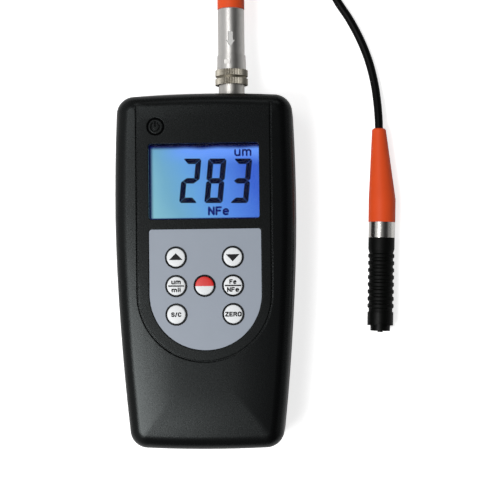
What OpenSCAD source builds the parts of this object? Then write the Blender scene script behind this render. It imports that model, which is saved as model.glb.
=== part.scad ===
// Handheld coating thickness gauge: a two-shell case with a display and seven keys,
// and a wired probe on a push-pull plug. The gauge lies on its back, display up.
// Origin: middle of the back face. +Y points to the socket end, +Z out of the display.

/* [Case] */
// Length of the case
case_len = 126; // [122:1:140]
// Width of the case at its widest
case_w = 64.2; // [62:0.2:72]
// Width that the sides reach at the socket end
case_top_w = 62; // [60:0.2:64]
// Width that the sides reach at the lower end
case_bottom_w = 53.3; // [52:0.2:58]
// Distance of the widest place from the middle, towards the socket
widest_y = 21; // [10:1:30]
// Bulge of the two ends at their middle
end_bulge = 1.2; // [0.4:0.1:2.5]
// Thickness of the case from back to front
case_h = 27; // [26.4:0.2:32]
// Height of the parting plane above the back
split_z = 13.5; // [12.5:0.5:14.5]
// Wall of both shells
wall = 2.2; // [1.8:0.1:2.4]
// Radius of the corners seen from the front
corner_r = 6.5; // [6:0.5:9]
// Rounding of the front edges
front_edge_r = 5; // [3.5:0.5:5.5]
// Rounding of the back edges
back_edge_r = 4; // [3:0.5:5]
// Rise of the crowned front from its edge to its middle
crown_h = 0.5; // [0.4:0.1:0.8]
// Half the width of the V-shaped line where the shells meet
seam_w = 0.25; // [0.1:0.05:0.4]

/* [Front panel] */
// Half width of the flat panel, and radius of its round lower end
panel_r = 23.65; // [22.8:0.05:25]
// Place of the centre of the panel's round end
panel_y = -8.15; // [-10:0.05:-7]
// Drop of the flat panel below the top of the crown
panel_drop = 0.3; // [0.2:0.05:0.4]
// Width of the groove around the panel
groove_w = 0.6; // [0.4:0.1:1]
// Depth of that groove
groove_d = 0.5; // [0.3:0.1:0.8]
// Diameter of the moulded ring mark
mark_d = 6.3; // [4.5:0.1:7]
// Line width of the ring mark
mark_line = 0.65; // [0.4:0.05:0.8]
// Depth of the ring mark
mark_deep = 0.4; // [0.1:0.05:0.5]
// Place of the ring mark across the panel
mark_x = -16.8; // [-18:0.1:-15]
// Distance of the ring mark from the socket end
mark_down = 12.1; // [10:0.1:13.5]

/* [Display] */
// Width of the window opening
window_w = 39; // [34:0.2:41]
// Height of the window opening
window_h = 26.7; // [22:0.1:27]
// Distance of the window's middle from the socket end
window_down = 31.5; // [31:0.1:33]
// Radius of the window's corners
window_r = 1; // [0.5:0.1:2]
// Thickness of the clear window
window_t = 1.2; // [0.8:0.1:1.6]
// Width of the rim on which the window is bonded
window_rim = 2; // [1.2:0.1:2.4]
// Depth of the display glass below the panel
lcd_depth = 5; // [4.6:0.1:5.4]
// Thickness of the display glass
lcd_t = 2.2; // [1.8:0.1:2.6]
// Thickness of the backlight
backlight_t = 2; // [1.6:0.1:2.4]
// Number of pins along each edge of the display
lcd_pin_count = 12; // [6:1:16]

/* [Keys] */
// Spacing of the keys both ways
key_pitch = 10; // [9.4:0.1:10.6]
// Place of the middle row of keys
key_y = -5.3; // [-6.5:0.1:-4.5]
// Diameter of a key cap
key_d = 6.5; // [5.5:0.1:6.8]
// Height of the cap above the overlay
key_proud = 0.7; // [0.6:0.1:1.2]
// Travel of a key
key_travel = 0.5; // [0.3:0.1:0.6]
// Flange that holds the cap under the front wall
key_flange = 1; // [0.6:0.1:1.2]
// Width of the dark ring that shows around each cap
key_ring = 0.5; // [0.4:0.05:0.6]
// Half width of the grey overlay, and radius of its round lower end
overlay_r = 19.7; // [19:0.1:21]
// Place of the overlay across the case
overlay_x = 0.3; // [-0.5:0.1:0.5]
// Place of the overlay's upper edge
overlay_top = 14.6; // [13.5:0.1:15.5]
// Thickness of the overlay
overlay_t = 0.4; // [0.3:0.05:0.6]
// Height of a key switch
switch_h = 3.4; // [3:0.1:3.8]

/* [Electronics] */
// Lower end of the circuit board
board_low = -26; // [-27:0.5:-25]
// Gap between the circuit board and what stands beside it
board_gap = 0.7; // [0.4:0.1:1]
// Thickness of the circuit board
board_t = 1.6; // [1.2:0.1:1.8]
// Diameter of the case screws
screw_d = 2.4; // [2:0.1:2.8]
// Diameter of the board screws
board_screw_d = 1.6; // [1.4:0.1:2]

/* [Batteries] */
// Diameter of a cell
cell_d = 10.5; // [10:0.1:10.6]
// Length of a cell
cell_len = 44.5; // [42:0.1:45]
// Gap between cells
cell_gap = 0.15; // [0.1:0.05:0.3]
// Length of a battery spring as fitted
spring_len = 3.4; // [2.5:0.1:4]
// Thickness of the contact plates
contact_t = 0.5; // [0.3:0.1:0.6]
// Wall of the battery bay
bay_wall = 1.2; // [1:0.1:1.4]
// Thickness of the battery door
door_t = 2; // [1.8:0.1:2]
// Width of the tongue on each side of the door
door_tongue = 1.2; // [0.8:0.1:1.4]

/* [Plug and socket] */
// Place of the socket across the case
socket_x = 9.4; // [6:0.1:12]
// Diameter of the socket's neck outside the case
neck_d = 9.3; // [8.8:0.1:9.6]
// Length of neck that shows
neck_len = 3.9; // [2.5:0.1:5]
// Diameter over the knurled rings
knurl_d = 11.8; // [11.2:0.1:12.5]
// Length of each knurled ring
knurl_len = 2.2; // [1.5:0.1:3]
// Groove between the knurled rings
knurl_gap = 0.9; // [0.6:0.1:1.5]
// Number of teeth in the knurl
knurl_teeth = 60; // [24:2:64]
// Length of the sleeve's smooth skirt
skirt_len = 5.4; // [4.5:0.1:8]
// Pull of the sleeve that frees the plug
sleeve_travel = 1.5; // [1:0.1:1.8]
// Diameter of the plug's barrel
barrel_d = 9.6; // [9:0.1:9.7]
// Length of barrel that shows behind the sleeve
barrel_len = 16.9; // [12:0.1:22]
// Outside diameter of the plug's nose
nose_d = 7.1; // [6.6:0.1:7.3]
// Depth of the nose in the socket, from the case's end
nose_in = 3.5; // [2.5:0.1:4]

/* [Probe and cable] */
// Diameter of the cable
cable_d = 3; // [2.6:0.1:3.2]
// Length of each strain relief
boot_len = 34.2; // [30:0.2:40]
// Diameter of a strain relief at its thick end
boot_d = 9.8; // [9.6:0.1:10.4]
// Diameter of a strain relief at its cable end
boot_tip_d = 5.1; // [4.4:0.1:6]
// Straight length at a strain relief's thick end
boot_base = 8.4; // [7:0.2:12]
// Place of the band's lower end across
probe_x = 63.1; // [60:0.1:80]
// Place of the band's lower end along
probe_y = 11.4; // [5:0.1:20]
// Lean of the probe towards the cable end
probe_lean = 1.65; // [0:0.05:4]
// Diameter of the metal band
band_d = 9.6; // [9:0.1:9.8]
// Length of the metal band
band_len = 5.7; // [4:0.1:8]
// Length of the rubber grip
grip_len = 27.1; // [26:0.1:32]
// Diameter of the grip over its ridges
grip_d = 9.55; // [9.3:0.05:9.8]
// Number of ridges
ridge_count = 8; // [4:1:8]
// Spacing of the ridges
ridge_pitch = 2.6; // [2.3:0.1:2.7]
// Depth between the ridges
ridge_deep = 0.45; // [0.2:0.05:0.6]
// Length of the end collar
collar_len = 4.8; // [4:0.1:7]
// Diameter of the end collar
collar_d = 9.4; // [9:0.1:9.6]
// Depth of the V-notch across the collar
notch_deep = 1.2; // [0.6:0.1:2]
// Diameter of the sprung nose
plunger_d = 7.2; // [6.6:0.1:7.3]
// Length of nose outside the collar
plunger_out = 2; // [1.8:0.1:3]
// Diameter of the contact tip
tip_d = 1.9; // [1.2:0.1:2.4]
// Length of the tip outside the nose
tip_out = 0.5; // [0.3:0.1:1]
// Travel of the nose into the probe
plunger_travel = 2.2; // [1:0.1:2.2]

/* [Hidden] */
// General clearances: sliding fit, loose fit and bonded or pressed seat
slide_gap = 0.1;
loose_gap = 0.15;
seat_gap = 0.05;
eps = 0.01;
$fn = 64;

// Case outline
half_len = case_len / 2;
mark_y = half_len - mark_down;
window_y = half_len - window_down;
taper_power = 1.7;
corner_steps = 8;
side_steps = 12;
end_steps = 4;

// Levels through the front of the case, from the panel down
panel_z = case_h - panel_drop;
front_in_z = panel_z - wall;
edge_z = case_h - crown_h - front_edge_r;
crown_reach = 15;
lcd_top_z = panel_z - lcd_depth;
lcd_z = lcd_top_z - lcd_t;
board_top_z = lcd_z - backlight_t;
board_z = board_top_z - board_t;

// Keypad: floor of the recess and the overlay's top
recess_z = panel_z - overlay_t - slide_gap;
overlay_z = recess_z + overlay_t;
key_top_z = overlay_z + key_proud;
key_hole_r = key_d / 2 + slide_gap;
overlay_hole_r = key_d / 2 + key_ring;
flange_t = 0.8;
flange_top_z = front_in_z - slide_gap;
stem_r = 1.4;
switch_well = 1.7;
switch_w = 6;
switch_top_z = board_top_z + switch_h;
stem_end_z = switch_top_z - switch_well + key_travel + 0.2;

// Display stack
lcd_w = window_w + 2 * window_rim;
lcd_h = window_h + 2 * window_rim + 1.2;
backlight_h = lcd_h - 4;
pin_r = 0.25;

// Bosses and screws
boss_r = 2.8;
boss_side = 6.1;
boss_end = 9.5;
boss_x = case_w / 2 - boss_side;
boss_high_y = half_len - boss_end;
boss_low_y = -2;
board_w = 2 * (boss_x - boss_r - board_gap);
post_r = 2;
post_inset = 3;
post_x = board_w / 2 - post_inset;
pilot_deep = 5;
head_r = screw_d / 2 + 1;
head_t = 1.6;
head_sink = 0.6;
pilot_end = front_in_z - 3;
board_head_t = 1;
board_head_r = board_screw_d / 2 + 0.8;

// Chip and small parts on the back of the board
chip_side = 10;
chip_t = 1.2;
chip_y = 14;
part_size = [2, 1.25, 0.8];
part_pitch = 4.5;
part_count = 6;
part_y = 6;
can_size = [4, 8, 1.8];
can_place = [12, 17];

// Battery bay and door
cell_count = 4;
cell_pitch = cell_d + cell_gap;
cell_room = 0.3;
bay_inset = 2.6;
bay_w = cell_count * cell_pitch + 2 * cell_room;
bay_low = -half_len + wall + bay_inset;
bay_len = spring_len + cell_len + contact_t;
bay_high = bay_low + bay_len;
cell_z = door_t + cell_room + cell_d / 2;
bay_top = cell_z + cell_d / 2 + cell_room;
tray_top = bay_top + bay_wall;
leaf_w = 5;
leaf_foot = 4;
leaf_crest = 0.8;
leaf_tail = 3.2;
plate_w = 7;
tab_w = 2;
nub_r = 1.9;
nub_len = 0.9;
door_lip = 1;
door_half = bay_w / 2 - door_lip;
door_wing = door_half + door_tongue;
door_high = bay_high + door_lip;
grip_bars = 5;
bar_pitch = 2;
bar_len = 16;
bar_deep = 0.4;

// Socket and plug, measured along Y
plug_z = split_z;
flange_len = 2;
neck_r = neck_d / 2;
throat_r = neck_r - 0.6;
rim_r = neck_r + 0.8;
rim_back = half_len - wall - flange_len - seat_gap;
rim_front = half_len - wall - end_bulge / 2;
sleeve_y = half_len + neck_len;
sleeve_front_len = 2 * knurl_len + knurl_gap;
skirt_y = sleeve_y + sleeve_front_len;
sleeve_end = skirt_y + skirt_len;
barrel_end = sleeve_end + barrel_len;
barrel_r = barrel_d / 2;
nose_r = nose_d / 2;
nose_start = half_len - nose_in;
bore_r = nose_r - 0.9;
core_r = barrel_r - 0.5;
neck_end = sleeve_y + 2;
web_y = neck_end + sleeve_travel / 2 + 0.6;
web_len = 1.2;
shoulder_y = web_y + web_len + sleeve_travel + 0.3;
socket_tail = 4.4;
socket_back = half_len - wall - flange_len - socket_tail;
board_high = socket_back - board_gap;
skirt_wall = 0.5;
knurl_deep = 0.25;
index_size = [2.2, 1.5, 0.3];
index_turn = 15;
arrow_len = 5.4;
arrow_w = 3.1;
arrow_deep = 0.2;
stub_r = 3.2;
stub_len = 5;
insert_len = 2.4;
contact_ring_r = 1.5;
contact_pin_r = 0.35;
leg_half = contact_pin_r + seat_gap;

// Cable ends, its bores and the probe's inner parts
cable_r = cable_d / 2;
cable_bore_r = cable_r + seat_gap;
cable_in = 4;
lie_z = max(boot_d, band_d, grip_d, collar_d) / 2;
tube_r = 3.9;
tube_bore = 3.2;
wire_bore = 2.2;
boot_bend = -1.55;
plunger_r = plunger_d / 2;
plunger_len = 9;
guide_r = plunger_r + slide_gap;
shoulder_r = 3.1;
spring_wire = 0.5;
spring_turns = 6;
spring_room = 8;
winding_r = 2;
winding_len = 4;
tip_r = tip_d / 2;
nose_low = -grip_len - collar_len - plunger_out;
spring_low = nose_low + plunger_len + seat_gap;
spring_high = spring_low + spring_room;

// Cable route, round numbers chosen by hand
plug_route = [[9.4, 124.8, 13.5], [9.4, 129, 13.5], [9.4, 133, 13.3], [9.4, 138, 12.2],
    [9.4, 143, 10.2], [9.5, 148, 7.8], [9.9, 153, 6], [11, 158, 5.2]];
probe_route = [[62.7, 47.6, 4.9], [62.7, 51.4, 4.9], [62.6, 56, 4.5], [62.2, 62, 3.4], [61.3, 69, 2.2],
    [59.4, 77, 1.6], [56.5, 84.7, 1.5], [52.6, 92.4, 1.5], [48, 99.7, 1.5], [45.6, 106, 1.5],
    [45.8, 112.5, 1.6], [48, 119.5, 1.8], [51.3, 126.5, 2], [53.8, 134, 2.1], [55, 142, 2.1],
    [55.2, 150, 2.1]];
// Coil of the spare cable: two flat layers, lying on the tie that holds it
coil_x = 32.3;
coil_y = 150;
coil_in_r = 10.5;
coil_out_r = 24.4;
coil_h = 6.2;
tie_t = 0.6;
tie_w = 9;
tie_gap = 0.1;
tie_room = 1.2;
cable_sides = 8;

// Shapes that repeat

// Half width of the case at a place along its length
function side_x(y) = y > widest_y
    ? case_w / 2 - (case_w - case_top_w) / 2 * pow((y - widest_y) / (half_len - widest_y), 2)
    : case_w / 2 - (case_w - case_bottom_w) / 2 * pow((widest_y - y) / (half_len + widest_y), taper_power);

// End of the case at a place across its width, for the socket end
function end_y(x) = half_len - end_bulge * pow(2 * x / case_w, 2);

// Right half of the outline, from the middle of the lower end to the middle of the upper end
corner_x = [side_x(-half_len + corner_r) - corner_r, side_x(half_len - corner_r) - corner_r];
corner_y = [for (x = corner_x) end_y(x) - corner_r];
right_side = concat(
    [for (i = [0 : end_steps - 1]) let (x = corner_x[0] * i / end_steps) [x, -end_y(x)]],
    [for (i = [0 : corner_steps]) let (a = -90 + 90 * i / corner_steps)
        [corner_x[0] + corner_r * cos(a), -corner_y[0] + corner_r * sin(a)]],
    [for (i = [1 : side_steps - 1]) let (y = -corner_y[0] + (corner_y[0] + corner_y[1]) * i / side_steps)
        [side_x(y), y]],
    [for (i = [0 : corner_steps]) let (a = 90 * i / corner_steps)
        [corner_x[1] + corner_r * cos(a), corner_y[1] + corner_r * sin(a)]],
    [for (i = [0 : end_steps]) let (x = corner_x[1] * (1 - (i + 1) / (end_steps + 1))) [x, end_y(x)]]);
last_point = len(right_side) - 1;
outline = concat(right_side, [for (i = [last_point - 1 : -1 : 1]) [-right_side[i].x, right_side[i].y]]);

// The outline moved inwards by d, square to its edge
function inset(d) = [for (i = [0 : len(outline) - 1])
    let (n = len(outline), t = outline[(i + 1) % n] - outline[(i + n - 1) % n])
    outline[i] + d / norm(t) * [-t.y, t.x]];

// The outline moved inwards by d, then drawn in to a smaller copy for the crown
function drawn_in(d, more) = [for (p = inset(d))
    [p.x * (1 - more / (case_w / 2 - d)), p.y * (1 - more / (half_len - d))]];

function at_z(ring, z) = [for (p = ring) [p.x, p.y, z]];

// Solid between rings of equal length, the lowest first
module loft(rings) {
    n = len(rings[0]);
    last = len(rings) - 1;
    polyhedron(
        points = [for (r = rings) each r],
        faces = concat(
            [[for (i = [0 : n - 1]) i]],
            [for (k = [0 : last - 1], i = [0 : n - 1], half = [0, 1])
                let (a = k * n + i, b = k * n + (i + 1) % n)
                half == 0 ? [a, a + n, b] : [b, a + n, b + n]],
            [[for (i = [n - 1 : -1 : 0]) last * n + i]]));
}

// Outer form of the front shell: straight sides, rounded edge, slight crown
module front_form() {
    edge_steps = 6;
    crown_steps = 4;
    loft(concat(
        [at_z(inset(seam_w), split_z), at_z(outline, split_z + seam_w)],
        [for (i = [0 : edge_steps]) let (a = 90 * i / edge_steps)
            at_z(inset(front_edge_r * (1 - cos(a))), edge_z + front_edge_r * sin(a))],
        [for (i = [1 : crown_steps]) let (s = i / crown_steps)
            at_z(drawn_in(front_edge_r, crown_reach * s), case_h - crown_h * pow(1 - s, 2))]));
}

module front_cavity() {
    r = front_edge_r - wall;
    steps = 3;
    loft(concat(
        [at_z(inset(wall), split_z - 1)],
        [for (i = [0 : steps]) let (a = 90 * i / steps)
            at_z(inset(wall + r * (1 - cos(a))), front_in_z - r + r * sin(a))]));
}

// Outer form of the rear shell
module rear_form() {
    edge_steps = 5;
    loft(concat(
        [for (i = [0 : edge_steps]) let (a = 90 * i / edge_steps)
            at_z(inset(back_edge_r * (1 - sin(a))), back_edge_r * (1 - cos(a)))],
        [at_z(outline, split_z - seam_w), at_z(inset(seam_w), split_z)]));
}

module rear_cavity() {
    r = back_edge_r - wall;
    loft([at_z(inset(wall + r), wall), at_z(inset(wall), wall + r), at_z(inset(wall), split_z + 1)]);
}

module rounded_rect(w, h, r) {
    square([w - 2 * r, h], center = true);
    square([w, h - 2 * r], center = true);
    for (x = [-1, 1], y = [-1, 1])
        translate([x * (w / 2 - r), y * (h / 2 - r)]) circle(r);
}

// Panel shape with a round lower end, open upwards to a given top
module tongue_shape(r, top) {
    translate([0, panel_y]) circle(r);
    translate([-r, panel_y]) square([2 * r, top - panel_y]);
}

module overlay_shape(grow) {
    r = window_r + grow;
    translate([overlay_x, 0]) difference() {
        tongue_shape(overlay_r + grow, overlay_top + grow);
        for (s = [-1, 1])
            translate([s * (overlay_r + grow), overlay_top + grow]) difference() {
                square(2 * r, center = true);
                translate([-s * r, -r]) circle(r);
            }
    }
}

// Turns a shape that points along +Z so that it points along +Y, placed on the plug's axis
module on_plug_axis(y) {
    translate([socket_x, y, plug_z]) rotate([-90, 0, 0]) children();
}

// The same for the probe, measured from the band's lower end
module on_probe_axis(y) {
    translate([probe_x, probe_y, lie_z]) rotate([0, 0, -probe_lean]) translate([0, y, 0])
        rotate([-90, 0, 0]) children();
}

module pipe(r_out, r_in, h) {
    difference() {
        cylinder(r = r_out, h = h);
        translate([0, 0, -1]) cylinder(r = r_in, h = h + 2);
    }
}

// Places of the four case screws, and of the four board posts
boss_places = [for (x = [-1, 1], y = [boss_low_y, boss_high_y]) [x * boss_x, y]];
post_places = [for (x = [-1, 1], y = [board_low + post_inset, board_high - post_inset]) [x * post_x, y]];

// Places of the keys, by column and row
function key_place(column, row) = [column * key_pitch, key_y + row * key_pitch];
key_places = [for (c = [-1, 1], r = [-1, 0, 1]) key_place(c, r), key_place(0, 0)];

// Case

module front_case() color("#2a2b2c") difference() {
    union() {
        difference() {
            front_form();
            front_cavity();
        }
        for (p = boss_places) translate([p.x, p.y, split_z])
            cylinder(r = boss_r, h = front_in_z - split_z + wall / 2);
        for (p = post_places) translate([p.x, p.y, board_top_z])
            cylinder(r = post_r, h = front_in_z - board_top_z + wall / 2);
    }
    translate([0, 0, panel_z]) linear_extrude(5) tongue_shape(panel_r, case_len);
    translate([0, 0, panel_z - groove_d]) linear_extrude(5) difference() {
        tongue_shape(panel_r + groove_w / 2, case_len);
        tongue_shape(panel_r - groove_w / 2, case_len);
    }
    translate([0, 0, recess_z]) linear_extrude(5) overlay_shape(loose_gap);
    translate([0, window_y, front_in_z - 1]) linear_extrude(10) rounded_rect(window_w, window_h, window_r);
    for (p = key_places) translate([p.x, p.y, front_in_z - 1]) cylinder(r = key_hole_r, h = 10);
    translate([mark_x, mark_y, panel_z - mark_deep]) linear_extrude(5) power_mark();
    for (p = boss_places) translate([p.x, p.y, split_z - 1])
        cylinder(d = screw_d + 2 * seat_gap, h = pilot_end - split_z + 1);
    for (p = post_places) translate([p.x, p.y, board_top_z - 1])
        cylinder(d = board_screw_d + 2 * seat_gap, h = pilot_deep + 1);
    on_plug_axis(half_len - wall - 4) cylinder(r = throat_r + seat_gap, h = 10);
}

// Ring with an open circle and a bar in it
module power_mark() {
    ring = mark_d / 2;
    inner = mark_d * 0.28;
    bar = mark_line * 0.8;
    difference() {
        circle(ring);
        circle(ring - mark_line);
    }
    difference() {
        circle(inner);
        circle(inner - bar);
        translate([-bar * 1.5, 0]) square([bar * 3, inner + 1]);
    }
    translate([-bar / 2, 0]) square([bar, inner + bar / 2]);
}

module door_slot(gap) {
    low = -case_len;
    translate([-door_half - gap, low, -1])
        cube([2 * (door_half + gap), door_high + gap - low, door_lip + 1 + eps]);
    translate([-door_wing - gap, low, door_lip - gap])
        cube([2 * (door_wing + gap), door_high + gap - low, door_t - door_lip + 2 * gap]);
}

module rear_case() color("#242526") difference() {
    union() {
        difference() {
            rear_form();
            rear_cavity();
        }
        translate([-bay_w / 2 - bay_wall, bay_low - bay_wall, wall / 2])
            cube([bay_w + 2 * bay_wall, bay_len + 2 * bay_wall, tray_top - wall / 2]);
        for (p = boss_places) translate([p.x, p.y, wall / 2]) cylinder(r = boss_r, h = split_z - wall / 2);
    }
    translate([-bay_w / 2, bay_low, -1]) cube([bay_w, bay_len, bay_top + 1]);
    door_slot(loose_gap);
    contact_tabs(loose_gap);
    for (p = boss_places) translate([p.x, p.y, -1]) {
        cylinder(d = screw_d + 2 * loose_gap, h = split_z + 2);
        cylinder(r = head_r + loose_gap, h = 1 + head_sink + head_t);
    }
    on_plug_axis(half_len - wall - 4) cylinder(r = throat_r + seat_gap, h = 10);
}

module battery_door() color("#242526") difference() {
    intersection() {
        rear_form();
        door_slot(0);
    }
    for (i = [0 : grip_bars - 1]) translate([0, door_high - (i + 4) * bar_pitch, 0])
        cube([bar_len - bar_pitch * i, bar_pitch * 0.45, 2 * bar_deep], center = true);
    translate([0, door_high - (grip_bars + 7) * bar_pitch, -1]) linear_extrude(1 + arrow_deep) arrow();
}

module case_screws() color("#8c8c8c") for (p = boss_places) translate([p.x, p.y, head_sink]) difference() {
    union() {
        cylinder(r = head_r, h = head_t);
        cylinder(d = screw_d, h = pilot_end - head_sink - 1);
    }
    for (a = [0, 90]) rotate(a) cube([2 * head_r * 0.65, 0.6, 1.6], center = true);
}

// Display

module display_window() color("#dfe8ee") translate([0, window_y, front_in_z - window_t])
    linear_extrude(window_t) rounded_rect(lcd_w, window_h + 2 * window_rim, window_r);

module lcd_panel() color("#6f9be0") translate([-lcd_w / 2, window_y - lcd_h / 2, lcd_z])
    cube([lcd_w, lcd_h, lcd_t]);

module lcd_backlight() color("#e8eef2")
    translate([-lcd_w / 2, window_y - backlight_h / 2, board_top_z]) cube([lcd_w, backlight_h, backlight_t]);

module lcd_pins() color("#c8c8c8") for (i = [0 : lcd_pin_count - 1], s = [-1, 1])
    translate([(i + 0.5) * lcd_w / lcd_pin_count - lcd_w / 2, window_y + s * (lcd_h / 2 - 1), board_top_z])
        cylinder(r = pin_r, h = backlight_t);

// Keypad

module keypad_overlay() color("#9ea6b2") translate([0, 0, recess_z]) difference() {
    linear_extrude(overlay_t) overlay_shape(0);
    for (p = key_places) translate([p.x, p.y, -1]) cylinder(r = overlay_hole_r, h = overlay_t + 2);
}

// Cap with a slightly domed top, flange under the wall and stem into the switch
module key(place, colour) {
    r = key_d / 2;
    edge = 0.3;
    dome = 0.12;
    color(colour) translate(place) rotate_extrude() polygon([
        [0, stem_end_z], [stem_r, stem_end_z], [stem_r, flange_top_z - flange_t],
        [r + key_flange, flange_top_z - flange_t], [r + key_flange, flange_top_z], [r, flange_top_z],
        [r, key_top_z - edge - dome], [r - edge * 0.3, key_top_z - edge * 0.3 - dome],
        [r - edge, key_top_z - dome], [r * 0.5, key_top_z - dome * 0.25], [0, key_top_z]]);
}

module key_plus() key(key_place(-1, 1), "#e8ecee");
module key_minus() key(key_place(1, 1), "#e8ecee");
module key_unit() key(key_place(-1, 0), "#e8ecee");
module key_power() key(key_place(0, 0), "#e94641");
module key_metal() key(key_place(1, 0), "#e8ecee");
module key_mode() key(key_place(-1, -1), "#e8ecee");
module key_zero() key(key_place(1, -1), "#e8ecee");

module key_switches() color("#3a3a3a") for (p = key_places) translate([p.x, p.y, board_top_z]) difference() {
    translate([-switch_w / 2, -switch_w / 2, 0]) cube([switch_w, switch_w, switch_h]);
    translate([0, 0, switch_h - switch_well]) cylinder(r = stem_r + slide_gap, h = switch_well + 1);
}

// Electronics

module main_board() color("#1f6b3a") difference() {
    translate([-board_w / 2, board_low, board_z]) cube([board_w, board_high - board_low, board_t]);
    for (p = post_places) translate([p.x, p.y, board_z - 1])
        cylinder(d = board_screw_d + 2 * loose_gap, h = board_t + 2);
}

module board_screws() color("#b0b0b0") for (p = post_places) translate([p.x, p.y, board_z]) {
    translate([0, 0, -board_head_t]) cylinder(r = board_head_r, h = board_head_t);
    cylinder(d = board_screw_d, h = board_t + pilot_deep - 0.5);
}

module processor_chip() color("#222222") translate([-chip_side / 2, chip_y, board_z - chip_t])
    cube([chip_side, chip_side, chip_t]);

// Coupling capacitors and a clock can on the back of the board
module board_parts() color("#a08050") {
    for (i = [0 : part_count - 1])
        translate([(i - part_count / 2) * part_pitch, part_y, board_z - part_size.z]) cube(part_size);
    translate([can_place.x, can_place.y, board_z - can_size.z]) cube(can_size);
}

// Batteries: every second cell is turned round

module cell(i) {
    turn = i % 2 == 0;
    y = turn ? bay_low + spring_len : bay_high - spring_len;
    color("#3d6e8c") translate([(i - (cell_count - 1) / 2) * cell_pitch, y, cell_z])
        rotate([turn ? -90 : 90, 0, 0]) {
            cylinder(d = cell_d, h = cell_len - nub_len);
            cylinder(r = nub_r, h = cell_len);
        }
}

module battery_1() cell(0);
module battery_2() cell(1);
module battery_3() cell(2);
module battery_4() cell(3);

// Bent leaf with a foot on the bay's end wall and a round crest against the cell
module leaf_spring() {
    crest = spring_len - contact_t;
    rotate([90, 0, 90]) translate([0, 0, -leaf_w / 2]) linear_extrude(leaf_w) {
        translate([0, -leaf_foot]) square([contact_t, 2 * leaf_foot]);
        polygon([[0, leaf_foot], [contact_t, leaf_foot], [spring_len, leaf_crest], [spring_len, -leaf_crest],
            [contact_t + leaf_crest, -leaf_tail], [contact_t + leaf_crest / 2, contact_t - leaf_tail],
            [crest, -leaf_crest], [crest, leaf_crest]]);
    }
}

module battery_springs() color("#c9c2b0") for (i = [0 : cell_count - 1]) {
    turn = i % 2 == 0;
    translate([(i - (cell_count - 1) / 2) * cell_pitch, turn ? bay_low : bay_high, cell_z])
        rotate(turn ? 0 : 180) leaf_spring();
}

// Solder tabs of the two end contacts, through the bay's roof to the board
module contact_tabs(gap) {
    for (i = [0, 2]) translate([(i - (cell_count - 1) / 2) * cell_pitch - tab_w / 2 - gap,
        bay_high - contact_t - gap, cell_z - gap])
        cube([tab_w + 2 * gap, contact_t + 2 * gap, board_z - cell_z + 2 * gap]);
}

module battery_contacts() color("#c9c2b0") {
    for (i = [0 : cell_count - 1]) {
        turn = i % 2 == 0;
        translate([(i - (cell_count - 1) / 2) * cell_pitch - plate_w / 2,
            turn ? bay_high - contact_t : bay_low, cell_z - plate_w / 2])
            cube([plate_w, contact_t, plate_w]);
    }
    contact_tabs(0);
}

// Socket and plug

module probe_socket() color("#b9b6b0") difference() {
    on_plug_axis(0) rotate_extrude() polygon([
        [0, socket_back], [throat_r, socket_back], [throat_r, rim_back], [rim_r, rim_back],
        [rim_r, rim_front], [throat_r, rim_front], [throat_r, half_len], [neck_r, half_len],
        [neck_r, neck_end], [0, neck_end]]);
    on_plug_axis(nose_start - insert_len - 1) cylinder(r = nose_r + seat_gap, h = case_len);
    on_plug_axis(socket_back - 1) cylinder(r = bore_r, h = case_len);
}

module contact_ring() {
    for (a = [45 : 90 : 315]) rotate(a) translate([contact_ring_r, 0, 0]) children();
}

module socket_insert() color("#1c1c1c") on_plug_axis(socket_back) difference() {
    cylinder(r = bore_r - seat_gap, h = nose_start - insert_len - 1 - socket_back);
    contact_ring() translate([0, 0, -1]) cylinder(r = contact_pin_r + seat_gap, h = 20);
}

// Pins through the socket's insert, each with a leg up to the board
module socket_pins() color("#d8b25a") for (a = [45 : 90 : 315]) {
    x = socket_x + contact_ring_r * cos(a);
    z = plug_z + contact_ring_r * sin(a);
    leg_y = board_high - (sin(a) > 0 ? 1 : 2.4);
    translate([x, leg_y, z]) rotate([-90, 0, 0])
        cylinder(r = contact_pin_r, h = nose_start - insert_len - seat_gap - leg_y);
    translate([x - leg_half, leg_y - leg_half, z - leg_half])
        cube([2 * leg_half, 2 * leg_half, board_z - z + leg_half]);
}

module plug_barrel() color("#c6c3bd") difference() {
    on_plug_axis(0) rotate_extrude() polygon([
        [bore_r, nose_start], [nose_r, nose_start], [nose_r, neck_end + 0.4], [core_r, neck_end + 0.4],
        [core_r, shoulder_y], [barrel_r, shoulder_y], [barrel_r, barrel_end - 0.3],
        [barrel_r - 0.3, barrel_end], [stub_r, barrel_end], [stub_r, barrel_end + stub_len],
        [cable_r, barrel_end + stub_len], [cable_r, barrel_end], [bore_r, barrel_end - 1]]);
    difference() {
        translate([socket_x, sleeve_end + arrow_len, plug_z]) linear_extrude(2 * barrel_r) arrow();
        on_plug_axis(0) cylinder(r = barrel_r - arrow_deep, h = barrel_end);
    }
}

// Arrow that points to the gauge
module arrow() {
    tip = -arrow_len / 2;
    head = tip + arrow_w * 0.75;
    shaft = arrow_w * 0.25;
    polygon([[0, tip], [arrow_w / 2, head], [shaft, head], [shaft, -tip], [-shaft, -tip], [-shaft, head],
        [-arrow_w / 2, head]]);
}

module plug_insert() color("#1c1c1c") on_plug_axis(nose_start + 1) difference() {
    cylinder(r = bore_r - seat_gap, h = insert_len);
    contact_ring() translate([0, 0, -1]) cylinder(r = contact_pin_r + seat_gap, h = 20);
}

module plug_pins() color("#d8b25a") on_plug_axis(nose_start - insert_len + seat_gap) contact_ring()
    cylinder(r = contact_pin_r, h = 2 * insert_len + 2);

// One ring of the knurl, a row of pointed teeth
module knurl_ring() {
    step = 360 / knurl_teeth;
    linear_extrude(knurl_len) polygon([for (i = [0 : knurl_teeth - 1], half = [0, 1])
        let (a = step * (i + half / 2), r = knurl_d / 2 - knurl_deep * half) [r * cos(a), r * sin(a)]]);
}

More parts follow.
